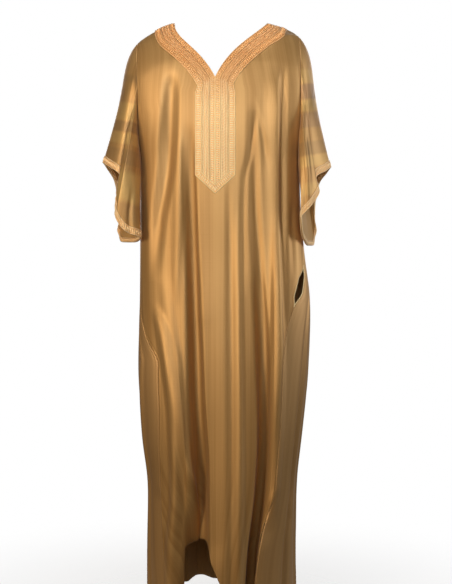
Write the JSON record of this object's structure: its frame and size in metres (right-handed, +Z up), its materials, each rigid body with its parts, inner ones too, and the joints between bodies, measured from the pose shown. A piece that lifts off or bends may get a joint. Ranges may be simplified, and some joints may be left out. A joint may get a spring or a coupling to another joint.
{
  "type": "djellaba (collarless gandoura cut)",
  "caption": "Long straight satin robe with a braided V neck and pointed plastron, wide elbow-length sleeves, side gores, a pocket slit and open side slits, hollow as worn.",
  "frame": {"origin": "over the neck, level with the top of the shoulders, where the wearer's shoulders carry the robe", "axes": "+Z up along the robe, -Y to its front, +X to its right as seen from the front, which is the wearer's left"},
  "size_m": [0.5744, 0.3055, 1.4358],
  "materials": {
    "body_satin": "soft satin sheen, tonal bands along the length",
    "gore_satin": "soft satin sheen",
    "sleeve_satin": "soft satin sheen with woven light and dark bands",
    "ladder_braid": "silk thread braid with a ladder stitch",
    "plain_braid": "silk thread braid with fine ribs",
    "edge_cord": "narrow stitched edge of silk thread"
  },
  "bodies": {
    "root": {"front_upper": "body_satin", "front_lower": "body_satin", "back_upper": "body_satin", "back_lower": "body_satin", "gore_left_upper": "gore_satin", "gore_left_lower": "gore_satin", "gore_right_upper": "gore_satin", "gore_right_lower": "gore_satin", "sleeve_left": "sleeve_satin", "sleeve_right": "sleeve_satin", "neck_braid_inner": "ladder_braid", "neck_braid_middle": "plain_braid", "neck_braid_outer": "ladder_braid", "cuff_braid_left": "ladder_braid", "cuff_braid_right": "ladder_braid", "pocket_edge_front": "edge_cord", "pocket_edge_gore": "edge_cord"}
  },
  "joints": []
}
